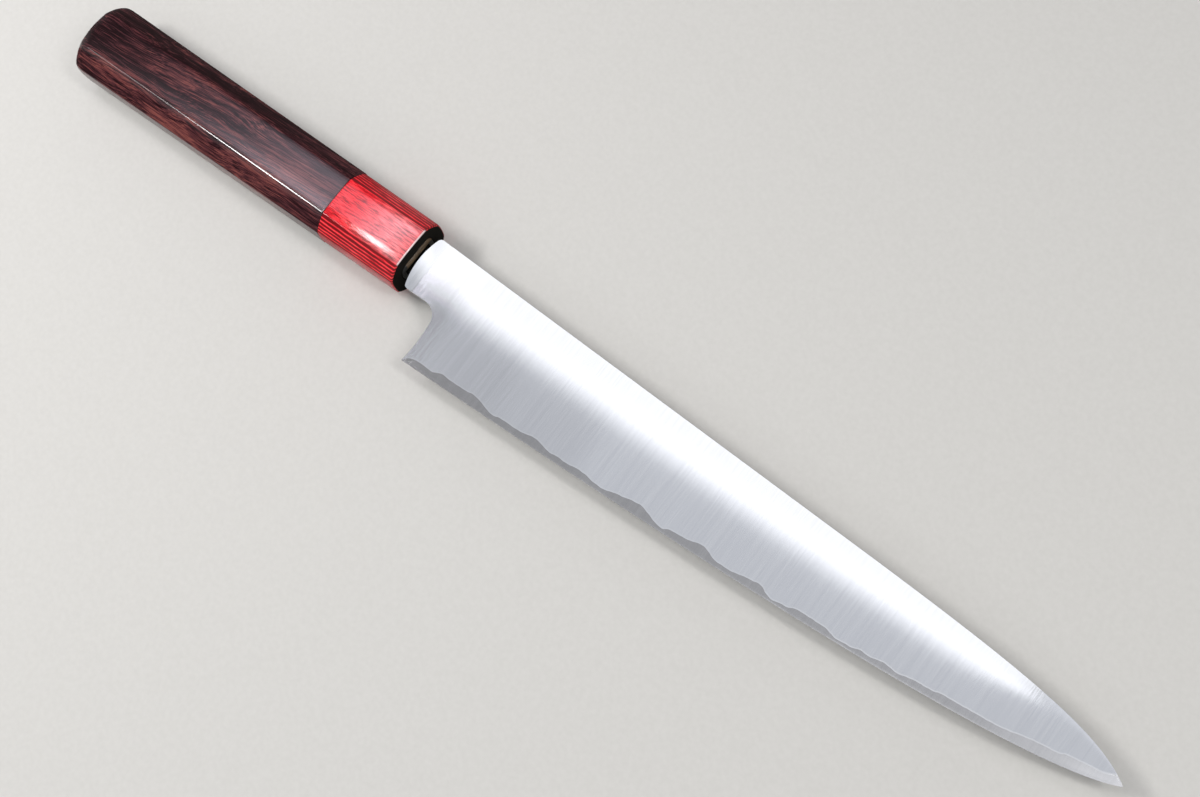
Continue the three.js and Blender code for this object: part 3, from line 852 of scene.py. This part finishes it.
def sleeve_tree():
    """Geometry nodes for an eight-sided sleeve with rounded arrises, rounded ends and a bore."""
    group = bpy.data.node_groups.new("eight_sided_sleeve", "GeometryNodeTree")
    for name in SLEEVE_SIZES:
        group.interface.new_socket(name=name, in_out="INPUT", socket_type="NodeSocketFloat")
    group.interface.new_socket(name="Finish", in_out="INPUT", socket_type="NodeSocketMaterial")
    group.interface.new_socket(name="Sleeve", in_out="OUTPUT", socket_type="NodeSocketGeometry")
    nodes = Nodes(group)
    given = nodes.add("NodeGroupInput")
    size = {name: given.output(name) for name in SLEEVE_SIZES}
    rings = sleeve_rings(size)
    per_facet = ARRIS_STEPS + 1 + FACET_STEPS
    around = FACETS * per_facet + 1
    counts = {"Vertices X": len(rings), "Vertices Y": around}
    sheet = nodes.add("GeometryNodeMeshGrid", sockets=counts)
    index = nodes.add("GeometryNodeInputIndex")
    ring = (index / around).math("FLOOR")
    spot = index.math("MODULO", around)

    def of_ring(values):
        choices = {1 + row: value for row, value in enumerate(values)}
        settings = {"data_type": "FLOAT", "items": len(rings)}
        return nodes.add("GeometryNodeIndexSwitch", settings, {"Index": ring, **choices})

    x, inset, bore, scale, roundness = (of_ring(values) for values in zip(*rings))

    # Inner octagon, whose corners are the centres of the arrises
    along = x / size["Handle Length"]
    radius = size["Arris Radius"]
    lean = math.tan(math.pi / 8)
    height = size["Butt Height"] + (size["Front Height"] - size["Butt Height"]) * along
    thickness = size["Butt Thickness"] + (size["Front Thickness"] - size["Butt Thickness"]) * along

    def either(outer, inner):
        return outer * (1 - bore) + inner * bore

    corner_radius = either(radius, size["Bore Corner"])
    far_y = either(height / 2 - inset - radius, size["Bore Height"] / 2 - size["Bore Corner"])
    far_z = either(thickness / 2 - inset - radius, size["Bore Thickness"] / 2 - size["Bore Corner"])
    facet = size["Facet Width"] / 2 - (inset + radius) * lean
    near_y = either(facet, size["Bore Height"] / 2 - size["Bore Corner"])
    near_z = far_z - (far_y - near_y)

    # Each arris is followed by the facet that leads to the next one
    arris = (spot / per_facet).math("FLOOR")
    step = spot.math("MODULO", per_facet)
    turn = step.math("MINIMUM", ARRIS_STEPS) / ARRIS_STEPS
    across = (step - ARRIS_STEPS).math("MAXIMUM", 0) / (FACET_STEPS + 1)

    def centre(number):
        angle = (number + 0.5) * (2 * math.pi / FACETS)
        y_side, z_side = angle.math("COSINE"), angle.math("SINE")
        wide = y_side.math("ABSOLUTE").math("GREATER_THAN", math.sqrt(0.5))
        y = y_side.math("SIGN") * (near_y + (far_y - near_y) * wide)
        z = z_side.math("SIGN") * (far_z + (near_z - far_z) * wide)
        return y, z

    (y, z), (next_y, next_z) = centre(arris), centre(arris + 1)
    angle = (arris + turn) * (2 * math.pi / FACETS)
    fall = size["Facet Crown"] * (1 - bore) * (across * 2 - 1).math("ABSOLUTE") ** 3
    reach = corner_radius - fall
    y = y + (next_y - y) * across + angle.math("COSINE") * reach
    z = z + (next_z - z) * across + angle.math("SINE") * reach

    # The back of the sleeve is drawn in to an ellipse
    wide = y / (height / 2 - size["Round Inset"])
    thick = z / (thickness / 2 - size["Round Inset"])
    ellipse = (wide * wide + thick * thick) ** -0.5
    draw = (1 + (ellipse - 1) * roundness) * scale
    place = nodes.vector(x, y * draw, z * draw)
    shaped = nodes.add("GeometryNodeSetPosition", sockets={"Geometry": sheet, "Position": place})
    merge = {"Geometry": shaped, "Distance": MERGE_DISTANCE}
    closed = nodes.add("GeometryNodeMergeByDistance", sockets=merge)
    real = nodes.add("GeometryNodeRealizeInstances", sockets={"Geometry": closed})
    coat = {"Geometry": real, "Material": given.output("Finish")}
    made = nodes.add("GeometryNodeSetMaterial", sockets=coat)
    nodes.add("NodeGroupOutput", sockets={"Sleeve": made})
    return group


def sleeve(name, tree, material, **sizes):
    """A plain mesh made by the sleeve's nodes with the given sizes."""
    maker = bpy.data.objects.new(name + "_maker", bpy.data.meshes.new(name + "_maker"))
    bpy.context.scene.collection.objects.link(maker)
    nodes = maker.modifiers.new("sleeve", "NODES")
    nodes.node_group = tree
    identifiers = {item.name: item.identifier for item in tree.interface.items_tree}
    nodes[identifiers["Finish"]] = material
    for size, value in sizes.items():
        nodes[identifiers[size.replace("_", " ")]] = float(value)
    depsgraph = bpy.context.evaluated_depsgraph_get()
    mesh = bpy.data.meshes.new_from_object(maker.evaluated_get(depsgraph), depsgraph=depsgraph)
    mesh.name = name
    bpy.data.objects.remove(maker)
    return finished(name, mesh, material)


def handle():
    tree = sleeve_tree()
    octagon = {
        "Handle_Length": HANDLE_LENGTH, "Butt_Height": BUTT_HEIGHT, "Front_Height": FRONT_HEIGHT,
        "Butt_Thickness": BUTT_THICKNESS, "Front_Thickness": FRONT_THICKNESS,
        "Facet_Width": BROAD_FACET_WIDTH, "Arris_Radius": ARRIS_RADIUS,
        "Bore_Height": seal_high.y - seal_low.y + 2 * GLUE_GAP,
        "Bore_Thickness": seal_high.z - seal_low.z + 2 * GLUE_GAP,
        "Bore_Corner": SEAL_CORNER_RADIUS + GLUE_GAP,
    }
    body = sleeve(
        "rosewood_body", tree, rosewood_finish(), **octagon, Back=body_low.x, Front=SEAM_X,
        Facet_Crown=BODY_CROWN, Back_Depth=BUTT_ROUND_DEPTH, Back_Inset=0, Back_Round=1,
        Round_Inset=BUTT_ROUND_INSET, Front_Depth=SEAM_EASE, Front_Inset=SEAM_EASE,
        Bore_End=TANG_END_X - GLUE_GAP, Through=0,
    )
    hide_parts("handle_body")
    ferrule = sleeve(
        "veneer_ferrule", tree, veneer_finish(), **octagon, Back=SEAM_X, Front=MOUTH_X,
        Facet_Crown=FERRULE_CROWN, Back_Depth=SEAM_EASE, Back_Inset=SEAM_EASE, Back_Round=0, Round_Inset=0,
        Front_Depth=FERRULE_ROUNDING, Front_Inset=FERRULE_ROUNDING, Bore_End=SEAM_X, Through=1,
    )
    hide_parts("ferrule")
    for node, material in (("mouth_seal", seal_finish()), ("handle_dowel", dowel_finish())):
        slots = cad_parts[node].data.materials
        slots.clear()
        slots.append(material)


# Stage

def floor():
    mesh = bpy.data.meshes.new("floor")
    reach = FLOOR_REACH
    corners = [(-reach, -reach), (reach, -reach), (reach, reach), (-reach, reach)]
    mesh.from_pydata([(x, y, FLOOR_Z - FLOOR_GAP) for x, y in corners], [], [(0, 1, 2, 3)])
    mesh.materials.append(floor_finish())
    plane = bpy.data.objects.new("floor", mesh)
    bpy.context.scene.collection.objects.link(plane)


def soft_lamp(name, low, high, radiance, colour=WHITE, turn=0):
    """A flat lamp of even brightness that spans two corners and may be turned a little."""
    low, high = Vector(low), Vector(high)
    lamp = bpy.data.lights.new(name, "AREA")
    lamp.shape = "RECTANGLE"
    lamp.size, lamp.size_y = abs(high.x - low.x), abs(high.y - low.y)
    lamp.energy = radiance * LAMP_POWER * lamp.size * lamp.size_y
    lamp.color = colour
    holder = bpy.data.objects.new(name, lamp)
    holder.location = (low + high) / 2
    holder.rotation_euler.z = turn
    holder.visible_camera = False
    bpy.context.scene.collection.objects.link(holder)


def room_light():
    world = bpy.data.worlds.new("soft_room")
    world.use_nodes = True
    nodes = Nodes(world.node_tree)
    rise = nodes.axes(nodes.add("ShaderNodeTexCoord", output="Generated"))[2]
    wall = nodes.step(rise, OVERHEAD_RIM, WALL_TOP)
    room = nodes.mix(wall, OVERHEAD_LIGHT, WALL_LIGHT)
    path = nodes.add("ShaderNodeLightPath", output="Is Camera Ray")
    seen = path.math("MAXIMUM", path.output("Is Glossy Ray") * wall * ROOM_REFLECTED)
    ground = world.node_tree.nodes["Background"].inputs
    nodes.feed(ground["Color"], nodes.mix(seen, room, ROOM_COLOUR))
    ground["Strength"].default_value = 1
    bpy.context.scene.world = world


def softbox():
    edge, strip = SOFTBOX_EDGE + SOFTBOX_BLUR / 2, SOFTBOX_BLUR / SOFTBOX_STEPS
    rear_corner, front_corner = (SOFTBOX_BACK, edge, LAMP_HEIGHT), (SOFTBOX_FRONT, SOFTBOX_FAR, LAMP_HEIGHT)
    soft_lamp("softbox", rear_corner, front_corner, SOFTBOX_RADIANCE, turn=SOFTBOX_TURN)
    for step in range(SOFTBOX_STEPS):
        top, radiance = edge - strip * step, SOFTBOX_RADIANCE * (1 - (step + 0.5) / SOFTBOX_STEPS)
        rear_corner = (SOFTBOX_BACK, top - strip, LAMP_HEIGHT)
        front_corner = (SOFTBOX_FRONT - SOFTBOX_SLANT * step, top, LAMP_HEIGHT)
        soft_lamp(f"softbox_rim_{step}", rear_corner, front_corner, radiance, turn=SOFTBOX_TURN)


def lamps():
    softbox()
    for number, (back, front, radiance) in enumerate(GREY_PANELS):
        rear_corner = (back, GREY_PANEL_NEAR, GREY_PANEL_HEIGHT)
        front_corner = (front, GREY_PANEL_FAR, GREY_PANEL_HEIGHT)
        soft_lamp(f"grey_panel_{number}", rear_corner, front_corner, radiance, COOL)
    for lamp in SMALL_LAMPS:
        soft_lamp(*lamp)
    for number, (back, front, radiance) in enumerate(SHEEN):
        rear_corner, front_corner = (back, SHEEN_NEAR, LAMP_HEIGHT), (front, SHEEN_FAR, LAMP_HEIGHT)
        soft_lamp(f"sheen_{number}", rear_corner, front_corner, radiance, SHEEN_COLOUR)


def camera():
    forward = (CAMERA_AIM - CAMERA_PLACE).normalized()
    side = forward.cross(Vector((0, 1, 0))).normalized()
    up = side.cross(forward) * math.cos(CAMERA_ROLL) + side * math.sin(CAMERA_ROLL)
    lens = bpy.data.cameras.new("photo_camera")
    lens.sensor_fit = "HORIZONTAL"
    lens.sensor_width = CAMERA_SENSOR
    lens.lens = CAMERA_LENS
    lens.clip_start = CAMERA_NEAR
    holder = bpy.data.objects.new("photo_camera", lens)
    turn = Matrix((forward.cross(up), up, -forward)).transposed()
    holder.matrix_world = Matrix.Translation(CAMERA_PLACE) @ turn.to_4x4()
    bpy.context.scene.collection.objects.link(holder)
    bpy.context.scene.camera = holder


camera()
floor()
room_light()
lamps()
blade()
handle()
bpy.context.scene.view_settings.view_transform = "Standard"
